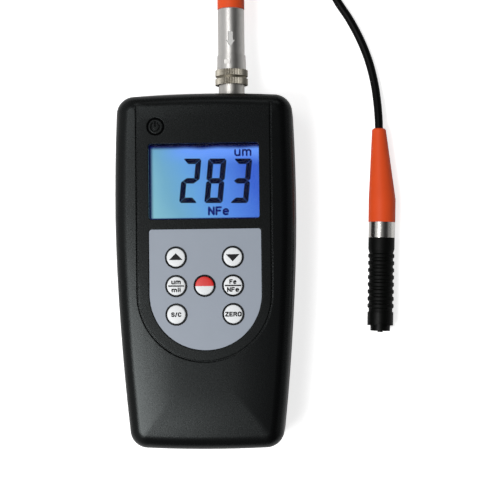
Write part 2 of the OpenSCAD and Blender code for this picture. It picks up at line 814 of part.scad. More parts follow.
module release_sleeve() color("#aba69c") on_plug_axis(0) difference() {
    union() {
        for (y = [sleeve_y, sleeve_y + knurl_len + knurl_gap]) translate([0, 0, y]) knurl_ring();
        translate([0, 0, sleeve_y + knurl_len - eps])
            cylinder(r = knurl_d / 2 - 2 * knurl_deep, h = knurl_gap + 2 * eps);
        translate([0, 0, skirt_y - eps])
            cylinder(r1 = barrel_r + skirt_wall, r2 = barrel_r + 0.65 * skirt_wall, h = skirt_len + eps);
    }
    translate([0, 0, sleeve_y - 1]) cylinder(r = neck_r + slide_gap, h = web_y - sleeve_y + 1);
    translate([0, 0, sleeve_y - 1]) cylinder(r = core_r + slide_gap, h = 40);
    translate([0, 0, web_y + web_len]) cylinder(r = barrel_r + slide_gap / 2, h = 40);
    rotate(-index_turn) translate([0, -barrel_r - skirt_wall, skirt_y + skirt_len / 2])
        cube([index_size.x, 2 * index_size.z, index_size.y], center = true);
}

// Tapered strain relief along +Z: blind bore for its seat below, blind bore for the cable above
module boot(bend, seat_r, seat_len) {
    tip_edge = 0.5;
    color("#e85026") difference() {
        union() {
            cylinder(d = boot_d, h = boot_base);
            hull() {
                translate([0, 0, boot_base - eps]) cylinder(d = boot_d, h = eps);
                translate([bend, 0, boot_len - tip_edge - eps]) cylinder(d = boot_tip_d, h = eps);
                translate([bend, 0, boot_len - eps]) cylinder(d = boot_tip_d - 2 * tip_edge, h = eps);
            }
        }
        translate([0, 0, -1]) cylinder(r = seat_r + seat_gap, h = seat_len + 1 + seat_gap);
        translate([bend, 0, boot_len - cable_in]) cylinder(r = cable_bore_r, h = cable_in + 1);
    }
}

module plug_boot() on_plug_axis(barrel_end) boot(0, stub_r, stub_len);

// Cable and coil

// A ring of points around p, square to the direction t
function tube_ring(p, t) = let (d = t / norm(t), s = cross(d, [0, 0, 1]), u = s / norm(s), v = cross(u, d))
    [for (k = [0 : cable_sides - 1]) let (a = 360 * k / cable_sides)
        p + cable_r * (cos(a) * u + sin(a) * v)];

function tube_rings(route) = [for (i = [0 : len(route) - 1])
    tube_ring(route[i], route[min(i + 1, len(route) - 1)] - route[max(i - 1, 0)])];

module cable_from_plug() color("#161616") loft(tube_rings(plug_route));

module cable_to_probe() color("#161616") loft(tube_rings(probe_route));

module cable_coil() color("#161616") translate([coil_x, coil_y, tie_t + tie_gap]) rotate_extrude()
    translate([(coil_in_r + coil_out_r) / 2, coil_h / 2])
        rounded_rect(coil_out_r - coil_in_r, coil_h, cable_r);

// Flat band around the coil's turns, on the side away from the gauge
module coil_tie() color("#303338") translate([coil_x - tie_w / 2, coil_y + coil_in_r, 0]) {
    section = coil_out_r - coil_in_r + tie_room + tie_gap;
    rise = coil_h + 2 * tie_gap;
    inner = cable_r - tie_gap;
    translate([0, section / 2 - tie_room, rise / 2 + tie_t]) rotate([90, 0, 90]) linear_extrude(tie_w)
        difference() {
            rounded_rect(section + 2 * tie_t, rise + 2 * tie_t, inner + tie_t);
            rounded_rect(section, rise, inner);
        }
}

// Probe

module probe_boot() on_probe_axis(band_len) boot(boot_bend, tube_r, stub_len);

module probe_tube() color("#d4d2ce") on_probe_axis(0) difference() {
    union() {
        translate([0, 0, -grip_len]) cylinder(r = tube_r, h = grip_len + band_len + stub_len);
        cylinder(d = band_d, h = band_len);
    }
    translate([0, 0, -grip_len - 1]) cylinder(r = tube_bore, h = spring_high + grip_len + 1 + seat_gap);
    translate([0, 0, -grip_len]) cylinder(r = wire_bore, h = grip_len + band_len + stub_len - 1);
}

module probe_grip() color("#1b1b1b") on_probe_axis(-grip_len) difference() {
    r = grip_d / 2;
    first = (grip_len - (ridge_count - 1) * ridge_pitch) / 4;
    ridge_top = ridge_pitch * 0.2;
    ridge_foot = ridge_pitch * 0.36;
    ridge = [[ridge_deep, -ridge_foot], [0, -ridge_top], [0, ridge_top], [ridge_deep, ridge_foot]];
    rotate_extrude() polygon(concat(
        [[tube_r + seat_gap, 0], [r - ridge_deep, 0]],
        [for (i = [0 : ridge_count - 1], corner = ridge)
            [r - corner.x, first + i * ridge_pitch + corner.y]],
        [[r, first + ridge_count * ridge_pitch], [r, grip_len], [tube_r + seat_gap, grip_len]]));
}

// Collar that guides the nose; a V-notch crosses its end so that it can sit on a round bar
module probe_collar() color("#202020") on_probe_axis(-grip_len - collar_len) difference() {
    cylinder(d = collar_d, h = collar_len);
    translate([0, 0, -1]) cylinder(r = guide_r, h = collar_len + 2);
    rotate([90, 0, 0]) translate([0, 0, -collar_d]) linear_extrude(2 * collar_d)
        polygon([[-2 * notch_deep, 0], [-2 * notch_deep, -1], [2 * notch_deep, -1], [2 * notch_deep, 0],
            [0, notch_deep]]);
}

// Nose with a thinner shank that runs in the tube
module probe_plunger() color("#262626") on_probe_axis(nose_low) difference() {
    step = plunger_out + collar_len - plunger_travel - 0.2;
    union() {
        cylinder(r = plunger_r, h = step);
        cylinder(r = shoulder_r, h = plunger_len);
    }
    translate([0, 0, -1]) cylinder(r = tip_r + seat_gap, h = plunger_len);
    translate([0, 0, 2]) cylinder(r = winding_r + seat_gap, h = winding_len);
}

module sensor_tip() color("#cfcfcf") on_probe_axis(nose_low - tip_out)
    cylinder(r = tip_r, h = plunger_len + tip_out - 1);

module sensor_winding() color("#b06a30") on_probe_axis(nose_low + 2)
    pipe(winding_r, tip_r + seat_gap, winding_len);

// Compression spring between the nose's shank and the step in the tube's bore
module probe_spring() color("#bfbfbf") {
    steps = 12;
    coil_r = tube_bore - spring_wire - slide_gap;
    rise = spring_room - spring_wire;
    path = [for (i = [0 : spring_turns * steps]) let (a = 360 * i / steps)
        [coil_r * cos(a), coil_r * sin(a), rise * i / (spring_turns * steps)]];
    on_probe_axis(spring_low + spring_wire / 2) loft([for (i = [0 : len(path) - 1])
        let (t = path[min(i + 1, len(path) - 1)] - path[max(i - 1, 0)], d = t / norm(t),
            u = [path[i].x, path[i].y, 0] / coil_r, v = cross(d, u))
        [for (k = [0 : 5]) path[i] + spring_wire / 2 * (cos(60 * k) * u + sin(60 * k) * v)]]);
}

front_case();
rear_case();
battery_door();
case_screws();
display_window();
lcd_panel();
lcd_backlight();
lcd_pins();
keypad_overlay();
key_plus();
key_minus();
key_unit();
key_power();
key_metal();
key_mode();
key_zero();
key_switches();
main_board();
board_screws();
processor_chip();
board_parts();
battery_1();
battery_2();
battery_3();
battery_4();
battery_springs();
battery_contacts();
probe_socket();
socket_insert();
socket_pins();
plug_barrel();
plug_insert();
plug_pins();
release_sleeve();
plug_boot();
cable_from_plug();
cable_coil();
coil_tie();
cable_to_probe();
probe_boot();
probe_tube();
probe_grip();
probe_collar();
probe_plunger();
probe_spring();
sensor_tip();
sensor_winding();
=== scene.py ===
import math

import bmesh
import bpy
from mathutils import Euler, Matrix, Vector


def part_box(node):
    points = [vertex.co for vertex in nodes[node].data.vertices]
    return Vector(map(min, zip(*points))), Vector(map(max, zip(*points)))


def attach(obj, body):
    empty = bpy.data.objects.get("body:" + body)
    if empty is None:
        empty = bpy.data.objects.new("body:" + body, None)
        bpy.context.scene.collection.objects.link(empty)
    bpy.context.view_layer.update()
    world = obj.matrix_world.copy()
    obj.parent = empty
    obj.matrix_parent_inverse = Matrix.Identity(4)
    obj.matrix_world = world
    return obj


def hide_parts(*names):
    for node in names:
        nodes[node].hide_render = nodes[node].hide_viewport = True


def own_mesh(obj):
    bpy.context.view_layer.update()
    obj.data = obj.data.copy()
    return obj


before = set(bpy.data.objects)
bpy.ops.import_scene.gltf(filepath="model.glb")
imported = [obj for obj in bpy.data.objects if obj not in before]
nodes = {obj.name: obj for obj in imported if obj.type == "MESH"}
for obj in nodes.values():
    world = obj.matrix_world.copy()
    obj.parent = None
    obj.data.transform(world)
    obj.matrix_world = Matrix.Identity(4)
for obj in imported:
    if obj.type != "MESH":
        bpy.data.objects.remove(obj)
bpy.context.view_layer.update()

MM = 0.001
scene = bpy.context.scene
scene.view_settings.view_transform = "Standard"


def linear(value):
    """A 0 to 255 display value as the linear value that shaders take."""
    share = value / 255
    return share / 12.92 if share <= 0.04 else ((share + 0.055) / 1.055) ** 2.4


def srgb(r, g, b):
    """A colour picked in 0 to 255 display values."""
    return linear(r), linear(g), linear(b), 1


def box_mm(name):
    """A node's lowest and highest corners in millimetres, to a tenth."""
    return [[round(v / MM, 1) for v in corner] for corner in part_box(name)]


def middle_of(name):
    """The middle of a node's box in millimetres, to a tenth."""
    return [round((a + b) / 2 / MM, 1) for a, b in zip(*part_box(name))]


# Places on the solids, in millimetres and degrees

PLUG_X, PLUG_Z = middle_of("plug_barrel")[::2]
KNURL_START = box_mm("release_sleeve")[0][1]
KNURL_END = KNURL_START + 5.3
RING_MARK = (-16.8, 50.9)
CELL_MIDDLE = middle_of("battery_1")[1]
CABLE_D = 3


# Camera, fitted to the outline and keys in the photograph

PHOTO_PIXELS = 488
FOCAL_PIXELS = 1243.4
CAMERA_PLACE = (38.261, -1.604, 460.979)
CAMERA_TURN = (1.38297, 3.21518, -0.62179)


def photo_camera():
    data = bpy.data.cameras.new("photo_camera")
    data.sensor_width = 36
    data.lens = data.sensor_width * FOCAL_PIXELS / PHOTO_PIXELS
    data.clip_start = 0.01
    camera = bpy.data.objects.new("photo_camera", data)
    turn = Euler([math.radians(angle) for angle in CAMERA_TURN])
    camera.matrix_world = Matrix.Translation(Vector(CAMERA_PLACE) * MM) @ turn.to_matrix().to_4x4()
    scene.collection.objects.link(camera)
    scene.camera = camera


photo_camera()


# Node helpers


def link(tree, value, socket):
    if isinstance(value, bpy.types.NodeSocket):
        tree.links.new(value, socket)
    else:
        socket.default_value = value


def math_node(tree, operation, a, b=0.0):
    n = tree.nodes.new("ShaderNodeMath")
    n.operation = operation
    link(tree, a, n.inputs[0])
    link(tree, b, n.inputs[1])
    return n.outputs[0]


def product(tree, *values):
    """All the values multiplied."""
    result = values[0]
    for value in values[1:]:
        result = math_node(tree, "MULTIPLY", result, value)
    return result


def ramp01(tree, value, low, high):
    """0 below low, 1 above high, smooth between."""
    n = tree.nodes.new("ShaderNodeMapRange")
    n.interpolation_type = "SMOOTHSTEP"
    link(tree, value, n.inputs["Value"])
    n.inputs["From Min"].default_value = low
    n.inputs["From Max"].default_value = high
    return n.outputs["Result"]


def spread(tree, value, low, high):
    """A 0 to 1 value stretched over low to high."""
    n = tree.nodes.new("ShaderNodeMapRange")
    link(tree, value, n.inputs["Value"])
    n.inputs["To Min"].default_value = low
    n.inputs["To Max"].default_value = high
    return n.outputs["Result"]


def mix(tree, share, a, b):
    n = tree.nodes.new("ShaderNodeMix")
    n.data_type = "RGBA"
    link(tree, share, n.inputs[0])
    link(tree, a, n.inputs[6])
    link(tree, b, n.inputs[7])
    return n.outputs[2]


def colour_ramp(tree, value, stops):
    """A colour that runs through the given (place, colour) stops."""
    n = tree.nodes.new("ShaderNodeValToRGB")
    while len(n.color_ramp.elements) < len(stops):
        n.color_ramp.elements.new(0.5)
    for element, (at, colour) in zip(n.color_ramp.elements, stops):
        element.position = at
        element.color = colour
    tree.links.new(value, n.inputs["Fac"])
    return n.outputs["Color"]


def noise(tree, scale, detail=2.0, stretch=(1, 1, 1), offset=(0, 0, 0)):
    coords = tree.nodes.new("ShaderNodeTexCoord")
    mapping = tree.nodes.new("ShaderNodeMapping")
    mapping.inputs["Scale"].default_value = stretch
    mapping.inputs["Location"].default_value = offset
    tree.links.new(coords.outputs["Object"], mapping.inputs["Vector"])
    n = tree.nodes.new("ShaderNodeTexNoise")
    tree.links.new(mapping.outputs["Vector"], n.inputs["Vector"])
    n.inputs["Scale"].default_value = scale
    n.inputs["Detail"].default_value = detail
    return n.outputs["Fac"]


def place_of(tree):
    """The surface point in the object's own frame, in metres, as x, y, z sockets."""
    coords = tree.nodes.new("ShaderNodeTexCoord")
    split = tree.nodes.new("ShaderNodeSeparateXYZ")
    tree.links.new(coords.outputs["Object"], split.inputs[0])
    return split.outputs


def away_from(tree, a, b, place):
    """How far two of the point's coordinates lie from a place in millimetres, in metres."""
    along_a = math_node(tree, "POWER", math_node(tree, "SUBTRACT", a, place[0] * MM), 2.0)
    along_b = math_node(tree, "POWER", math_node(tree, "SUBTRACT", b, place[1] * MM), 2.0)
    return math_node(tree, "SQRT", math_node(tree, "ADD", along_a, along_b))


def bump(tree, height, distance, soft_edge=0.0):
    """Fine relief; soft_edge rounds the sharp edges by that radius."""
    n = tree.nodes.new("ShaderNodeBump")
    n.inputs["Distance"].default_value = distance
    tree.links.new(height, n.inputs["Height"])
    if soft_edge:
        round_edge = tree.nodes.new("ShaderNodeBevel")
        round_edge.samples = 6
        round_edge.inputs["Radius"].default_value = soft_edge
        tree.links.new(round_edge.outputs["Normal"], n.inputs["Normal"])
    return n.outputs["Normal"]


def material(name):
    m = bpy.data.materials.new(name)
    m.use_nodes = True
    return m, m.node_tree, m.node_tree.nodes["Principled BSDF"]


def finish(name, colour, rough, metallic=0.0, specular=0.5, grain=900, depth=0.00002, vary=0.12,
           spread_rough=0.05, stretch=(1, 1, 1), soft_edge=0.00015, tint=(1, 1, 1, 1)):
    """A surface with cloudy colour, uneven gloss, fine relief and softened edges."""
    m, tree, shader = material(name)
    cloud = noise(tree, 160, 3.0)
    low = tuple(c * (1 - vary) for c in colour[:3]) + (1,)
    high = tuple(min(1.0, c * (1 + vary)) for c in colour[:3]) + (1,)
    tree.links.new(mix(tree, cloud, low, high), shader.inputs["Base Color"])
    fine = noise(tree, grain, 2.0, stretch)
    gloss = spread(tree, fine, rough - spread_rough, rough + spread_rough)
    tree.links.new(gloss, shader.inputs["Roughness"])
    tree.links.new(bump(tree, fine, depth, soft_edge), shader.inputs["Normal"])
    shader.inputs["Metallic"].default_value = metallic
    shader.inputs["Specular IOR Level"].default_value = specular
    shader.inputs["Specular Tint"].default_value = tint
    return m


# Materials

CASE = dict(colour=(0.0026, 0.0028, 0.0029, 1), rough=0.27, specular=0.21, grain=2600, depth=0.000012,
            soft_edge=0.0004, tint=(0.92, 1, 1, 1))
case_black = finish("case_black", **CASE)
white_plastic = finish("white_plastic", srgb(240, 243, 245), 0.4, grain=1500, depth=0.000006, vary=0.03)
red_plastic = srgb(226, 48, 44)
overlay_grey = finish("overlay_grey", srgb(152, 161, 174), 0.42, grain=3000, depth=0.000008, vary=0.03)
nickel = finish("nickel", srgb(212, 209, 204), 0.42, 1.0, grain=500, depth=0.000006, vary=0.04,
                spread_rough=0.06, stretch=(6, 0.5, 6))
steel = finish("steel", srgb(220, 218, 214), 0.24, 1.0, grain=700, depth=0.000003, vary=0.03,
               spread_rough=0.04, stretch=(6, 0.5, 6))
tip_steel = finish("tip_steel", srgb(52, 51, 50), 0.35, 1.0, grain=900, depth=0.000004)
screw_steel = finish("screw_steel", srgb(150, 150, 150), 0.34, 1.0, grain=900, depth=0.000006)
contact_metal = finish("contact_metal", srgb(200, 196, 184), 0.28, 1.0, grain=900, depth=0.000005)
gold = finish("gold", srgb(226, 180, 92), 0.25, 1.0, grain=900, depth=0.000005)
copper = finish("copper", srgb(196, 112, 66), 0.35, 1.0, grain=3000, depth=0.00004, stretch=(1, 6, 1))
orange_rubber = finish("orange_rubber", srgb(236, 86, 40), 0.42, specular=0.14, grain=1800,
                       depth=0.000008, vary=0.05)
DEEP_BLACK = (0.0019, 0.0022, 0.0019, 1)
black_rubber = finish("black_rubber", DEEP_BLACK, 0.5, specular=0.1, grain=2400, depth=0.000015)
black_plastic = finish("black_plastic", DEEP_BLACK, 0.42, specular=0.12, grain=1800, depth=0.00001)
cable_black = finish("cable_black", (0.0019, 0.0021, 0.002, 1), 0.42, specular=0.1, grain=1400,
                     depth=0.000012)
board_green = finish("board_green", srgb(22, 92, 48), 0.4, grain=1200, depth=0.00001)


def plug_radius(tree):
    """Distance from the plug's axis, in metres."""
    x, _, z = place_of(tree)
    return away_from(tree, x, z, (PLUG_X, PLUG_Z))


def masked_nickel(name, mask_of, colour_of, rough, metallic):
    """The nickel, with another finish where the mask is 1."""
    m, tree, shader = material(name)
    mask = mask_of(tree)
    fine = noise(tree, 500, 2.0, (6, 0.5, 6))
    plain = mix(tree, fine, srgb(200, 198, 195), srgb(212, 210, 207))
    tree.links.new(mix(tree, mask, plain, colour_of(tree)), shader.inputs["Base Color"])
    gloss = spread(tree, fine, 0.36, 0.44)
    gloss = math_node(tree, "ADD", gloss, math_node(tree, "MULTIPLY", mask, rough - 0.4))
    tree.links.new(gloss, shader.inputs["Roughness"])
    tree.links.new(spread(tree, mask, 1.0, metallic), shader.inputs["Metallic"])
    tree.links.new(bump(tree, fine, 0.000006, 0.0001), shader.inputs["Normal"])
    return m


def knurl_mask(tree):
    """1 on the two knurled rings of the sleeve."""
    _, y, _ = place_of(tree)
    past_start = ramp01(tree, y, (KNURL_START - 0.2) * MM, (KNURL_START - 0.1) * MM)
    past_end = ramp01(tree, y, (KNURL_END + 0.1) * MM, (KNURL_END + 0.2) * MM)
    return math_node(tree, "SUBTRACT", past_start, past_end)


def knurl_grime_and_shade(tree):
    """Bright crests, with grime and painted shade darkening the valleys between the teeth."""
    crest = ramp01(tree, plug_radius(tree), 5.65 * MM, 5.87 * MM)
    return mix(tree, crest, srgb(128, 122, 108), srgb(216, 210, 197))


def arrow_mask(tree):
    """The floor of the arrow, which lies a little deeper than the barrel's skin."""
    return math_node(tree, "SUBTRACT", 1.0, ramp01(tree, plug_radius(tree), 4.66 * MM, 4.74 * MM))


def arrow_colour(tree):
    return mix(tree, noise(tree, 2500), srgb(206, 205, 203), srgb(222, 221, 219))


def marked_case():
    """The case finish, with dark paint in the moulded ring mark."""
    m = finish("front_black", **CASE)
    tree = m.node_tree
    x, y, z = place_of(tree)
    away = away_from(tree, x, y, RING_MARK)
    outside = ramp01(tree, away, 3.4 * MM, 3.5 * MM)
    above = ramp01(tree, z, 26.4 * MM, 26.6 * MM)
    bare = math_node(tree, "MAXIMUM", outside, above)
    ring = spread(tree, ramp01(tree, away, 2.1 * MM, 2.3 * MM), 0.4, 1.0)
    paint = math_node(tree, "MULTIPLY", math_node(tree, "SUBTRACT", 1.0, bare), ring)
    shader = tree.nodes["Principled BSDF"]
    tree.links.new(spread(tree, paint, CASE["specular"], 0.0), shader.inputs["Specular IOR Level"])
    return m


def weave_fabric():
    m, tree, shader = material("tie_fabric")
    shader.inputs["Base Color"].default_value = (0.012, 0.013, 0.016, 1)
    shader.inputs["Roughness"].default_value = 0.85
    loops = noise(tree, 2200, 1.0)
    tree.links.new(bump(tree, loops, 0.0001), shader.inputs["Normal"])
    return m


def power_key_paint():
    """Upper half red, lower half white, with a soft moulded border between them."""
    m, tree, shader = material("power_key_paint")
    _, y, _ = place_of(tree)
    upper = ramp01(tree, y, -5.55 * MM, -5.3 * MM)
    cloud = noise(tree, 900, 2.0)
    red = mix(tree, cloud, tuple(c * 0.95 for c in red_plastic[:3]) + (1,), red_plastic)
    tree.links.new(mix(tree, upper, srgb(236, 239, 241), red), shader.inputs["Base Color"])
    tree.links.new(spread(tree, cloud, 0.36, 0.44), shader.inputs["Roughness"])
    tree.links.new(bump(tree, cloud, 0.000006, 0.00015), shader.inputs["Normal"])
    return m


def cell_wrap():
    """Printed sleeve of a cell, with bare metal at both ends."""
    m, tree, shader = material("cell_wrap")
    _, y, _ = place_of(tree)
    from_middle = math_node(tree, "ABSOLUTE", math_node(tree, "SUBTRACT", y, CELL_MIDDLE * MM))
    bare = ramp01(tree, from_middle, 21.2 * MM, 21.4 * MM)
    band = ramp01(tree, from_middle, 15.0 * MM, 15.2 * MM)
    wrap = mix(tree, band, srgb(34, 78, 110), srgb(196, 150, 84))
    tree.links.new(mix(tree, bare, wrap, srgb(200, 198, 190)), shader.inputs["Base Color"])
    tree.links.new(bare, shader.inputs["Metallic"])
    tree.links.new(bump(tree, noise(tree, 700), 0.000008, 0.0002), shader.inputs["Normal"])
    shader.inputs["Roughness"].default_value = 0.25
    return m


def clear_plastic():
    m, tree, shader = material("clear_plastic")
    shader.inputs["Base Color"].default_value = (0.97, 0.98, 1, 1)
    shader.inputs["Transmission Weight"].default_value = 1
    shader.inputs["IOR"].default_value = 1.22
    tree.links.new(spread(tree, noise(tree, 400), 0.0, 0.03), shader.inputs["Roughness"])
    return m


def display_glow():
    """Lit display: teal at the left, blue at the right, with painted shade fading it to navy and a painted
    shadow of the window's recess near its frame.
    """
    m, tree, shader = material("display_glow")
    x, y, _ = place_of(tree)
    cloud = noise(tree, 90, 2.0)
    along = math_node(tree, "ADD", x, math_node(tree, "MULTIPLY", y, 0.35))
    along = math_node(tree, "ADD", along, math_node(tree, "MULTIPLY", cloud, 0.006))
    stops = [(0.0, srgb(138, 196, 206)), (0.22, srgb(112, 172, 200)), (0.45, srgb(102, 164, 220)),
             (0.7, srgb(84, 138, 226)), (1.0, srgb(56, 98, 206))]
    span = tree.nodes.new("ShaderNodeMapRange")
    tree.links.new(along, span.inputs["Value"])
    span.inputs["From Min"].default_value = -9 * MM
    span.inputs["From Max"].default_value = 32 * MM
    tint = colour_ramp(tree, span.outputs["Result"], stops)
    left, bottom, top = -20 * MM, 18.1 * MM, 44.6 * MM
    wave = noise(tree, 150, 0.0, (1, 0, 0), (0.011, 0, 0))
    height = math_node(tree, "ADD", y, math_node(tree, "MULTIPLY", wave, 0.9 * MM))
    below_top = math_node(tree, "SUBTRACT", top, height)
    # Painted shade: the light fades to navy towards the left, top and bottom of the frame, with a wavy top
    # edge
    inner = product(tree, ramp01(tree, x, left + 0.2 * MM, left + 2 * MM),
                    ramp01(tree, below_top, -0.3 * MM, 1.4 * MM),
                    ramp01(tree, y, bottom + 0.3 * MM, bottom + 0.9 * MM))
    lamps = product(tree, ramp01(tree, y, 37 * MM, 42.6 * MM), ramp01(tree, x, -17 * MM, -5 * MM), 0.85)
    lit = mix(tree, lamps, tint, srgb(108, 160, 255))
    navy_frame_shade = mix(tree, math_node(tree, "POWER", inner, 1.4), srgb(6, 10, 84), lit)
    # Painted shadow of the window's recess: near black right at the frame
    clear_of_recess_shadow = product(tree, ramp01(tree, x, left, left + 1.1 * MM),
                     ramp01(tree, below_top, -0.7 * MM, 0.3 * MM),
                     ramp01(tree, y, bottom, bottom + 0.5 * MM))
    shown = mix(tree, clear_of_recess_shadow, (0.0004, 0.0006, 0.006, 1), navy_frame_shade)
    tree.links.new(shown, shader.inputs["Emission Color"])
    shader.inputs["Emission Strength"].default_value = 1.0
    shader.inputs["Base Color"].default_value = (0.002, 0.003, 0.01, 1)
    shader.inputs["Roughness"].default_value = 0.4
    shader.inputs["Specular IOR Level"].default_value = 0.0
    return m


def ink(name, colour, glow):
    """Printed ink, or the display's dark liquid where glow is set."""
    m, tree, shader = material(name)
    cloud = noise(tree, 1500, 2.0)
    deep = tuple(c * 0.8 for c in colour[:3]) + (1,)
    tree.links.new(mix(tree, cloud, deep, colour), shader.inputs["Base Color"])
    shader.inputs["Roughness"].default_value = 0.5
    shader.inputs["Specular IOR Level"].default_value = 0.0 if glow else 0.2
    if glow:
        shader.inputs["Emission Color"].default_value = colour
        shader.inputs["Emission Strength"].default_value = 0.8
    return m


front_black = marked_case()
tie_fabric = weave_fabric()
sleeve_nickel = masked_nickel("sleeve_nickel", knurl_mask, knurl_grime_and_shade, 0.48, 1.0)
barrel_nickel = masked_nickel("barrel_nickel", arrow_mask, arrow_colour, 0.6, 0.1)
power_paint = power_key_paint()
cell_paint = cell_wrap()
window_clear = clear_plastic()
glow = display_glow()
lcd_ink = ink("lcd_ink", srgb(0, 2, 26), True)
lcd_text_ink = ink("lcd_text_ink", srgb(8, 20, 92), True)
key_ink = ink("key_ink", srgb(14, 15, 18), False)

# The finish of each solid

looks = {
    "front_case": front_black, "rear_case": case_black, "battery_door": case_black,
    "case_screws": screw_steel, "display_window": window_clear, "lcd_panel": glow,
    "lcd_backlight": white_plastic, "lcd_pins": contact_metal, "keypad_overlay": overlay_grey,
    "key_plus": white_plastic, "key_minus": white_plastic, "key_unit": white_plastic,
    "key_power": power_paint, "key_metal": white_plastic, "key_mode": white_plastic,
    "key_zero": white_plastic, "key_switches": black_plastic, "main_board": board_green,
    "board_screws": screw_steel, "processor_chip": black_plastic, "board_parts": contact_metal,
    "battery_1": cell_paint, "battery_2": cell_paint, "battery_3": cell_paint, "battery_4": cell_paint,
    "battery_springs": contact_metal, "battery_contacts": contact_metal, "probe_socket": nickel,
    "socket_insert": black_plastic, "socket_pins": gold, "plug_barrel": barrel_nickel,
    "plug_insert": black_plastic, "plug_pins": gold, "release_sleeve": sleeve_nickel,
    "plug_boot": orange_rubber, "coil_tie": tie_fabric, "probe_boot": orange_rubber,
    "probe_tube": steel, "probe_grip": black_rubber, "probe_collar": black_plastic,
    "probe_plunger": black_plastic, "probe_spring": contact_metal, "sensor_tip": tip_steel,
    "sensor_winding": copper,
}


def smooth_group(degrees):
    """Smooth shading, broken at edges that turn by more than the given angle."""
    tree = bpy.data.node_groups.new("smooth_by_angle", "GeometryNodeTree")
    tree.interface.new_socket("Geometry", in_out="INPUT", socket_type="NodeSocketGeometry")
    tree.interface.new_socket("Geometry", in_out="OUTPUT", socket_type="NodeSocketGeometry")
    into = tree.nodes.new("NodeGroupInput")
    out = tree.nodes.new("NodeGroupOutput")
    faces = tree.nodes.new("GeometryNodeSetShadeSmooth")
    edges = tree.nodes.new("GeometryNodeSetShadeSmooth")
    edges.domain = "EDGE"
    edges.inputs["Shade Smooth"].default_value = False
    angle = tree.nodes.new("GeometryNodeInputMeshEdgeAngle")
    sharp = tree.nodes.new("FunctionNodeCompare")
    sharp.operation = "GREATER_THAN"
    sharp.inputs[1].default_value = math.radians(degrees)
    tree.links.new(into.outputs[0], faces.inputs["Geometry"])
    tree.links.new(faces.outputs[0], edges.inputs["Geometry"])
    tree.links.new(angle.outputs["Unsigned Angle"], sharp.inputs[0])
    tree.links.new(sharp.outputs[0], edges.inputs["Selection"])
    tree.links.new(edges.outputs[0], out.inputs[0])
    return tree


smooth_tree = smooth_group(32)


def shade(piece):
    """Joins the mesh's loose faces and shades it smooth between its real edges."""
    weld = piece.modifiers.new("weld", "WELD")
    weld.merge_threshold = 0.000002
    piece.modifiers.new("smooth", "NODES").node_group = smooth_tree
    weigh = piece.modifiers.new("weigh", "WEIGHTED_NORMAL")
    weigh.keep_sharp = True


for name, look in looks.items():
    nodes[name].data.materials.clear()
    nodes[name].data.materials.append(look)
    shade(nodes[name])


def make_nose_spring():
    """The spring behind the nose, copied from its solid and joined to the probe's lead."""
    spring = bpy.data.objects.new("nose_spring", nodes["probe_spring"].data.copy())
    scene.collection.objects.link(spring)
    shade(spring)
    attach(spring, "probe_lead")
    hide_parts("probe_spring")
    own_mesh(spring)


make_nose_spring()


# Cable from the plug's boot, wound into two layers of a tied coil, to the probe


def through(points, per_span=6):
    """A smooth line through the points."""
    p = [Vector(q) for q in points]
    p = [2 * p[0] - p[1]] + p + [2 * p[-1] - p[-2]]
    line = []
    for i in range(1, len(p) - 2):
        for k in range(per_span):
            t = k / per_span
            line.append(0.5 * (2 * p[i] + (p[i + 1] - p[i - 1]) * t
                               + (2 * p[i - 1] - 5 * p[i] + 4 * p[i + 1] - p[i + 2]) * t * t
                               + (3 * p[i] - p[i - 1] - 3 * p[i + 1] + p[i + 2]) * t ** 3))
    return line + [p[-2]]


def cable_line():
    """Points of the whole route in millimetres: in on the upper layer, out on the lower one."""
    plug_route = [(9.4, 124.8, 13.5), (9.4, 129, 13.5), (9.4, 133, 13.3), (9.4, 138, 12.2),
                  (9.4, 143, 10.2), (9.5, 148, 7.8), (9.9, 153, 6), (11, 158, 5.25)]
    probe_route = [(62.7, 47.6, 4.9), (62.7, 51.4, 4.9), (62.6, 56, 4.5), (62.2, 62, 3.4), (61.3, 69, 2.2),
                   (59.4, 77, 1.6), (56.5, 84.7, 1.5), (52.6, 92.4, 1.5), (48, 99.7, 1.5), (45.6, 106, 1.5),
                   (45.8, 112.5, 1.6), (48, 119.5, 1.8), (51.3, 126.5, 2), (53.8, 134, 2.1), (55, 142, 2.1)]
    coil_x, coil_y, _ = middle_of("cable_coil")
    middle = Vector((coil_x, coil_y, 0))
    wide, narrow, turns = 22.85, 12.0, 3.5
    high, low = 5.25, 2.2
    coil = []

    def at(angle, radius, z):
        a = math.radians(angle)
        coil.append(middle + Vector((radius * math.cos(a), radius * math.sin(a), z)))

    span = int(360 * turns)
    for a in range(30, span, 6):
        at(180 - a, wide + (narrow - wide) * a / span, high)
    for a in range(0, 180, 6):
        at(180 - span - a, narrow, high + (low - high) * (0.5 - 0.5 * math.cos(math.radians(a))))
    for a in range(0, span + 1, 6):
        at(-span - a, narrow + (wide - narrow) * a / span, low)
    return through(plug_route) + coil + through(probe_route)[::-1]


def make_cable():
    line = cable_line()
    data = bpy.data.curves.new("probe_cable", "CURVE")
    data.dimensions = "3D"
    data.bevel_depth = CABLE_D / 2 * MM
    data.bevel_resolution = 4
    data.use_fill_caps = True
    spline = data.splines.new("POLY")
    spline.points.add(len(line) - 1)
    for point, place in zip(spline.points, line):
        point.co = (*(place * MM), 1)
    data.materials.append(cable_black)
    cable = bpy.data.objects.new("probe_cable", data)
    scene.collection.objects.link(cable)
    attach(cable, "probe_lead")
    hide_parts("cable_from_plug", "cable_coil", "cable_to_probe")


make_cable()


# Flat printed shapes


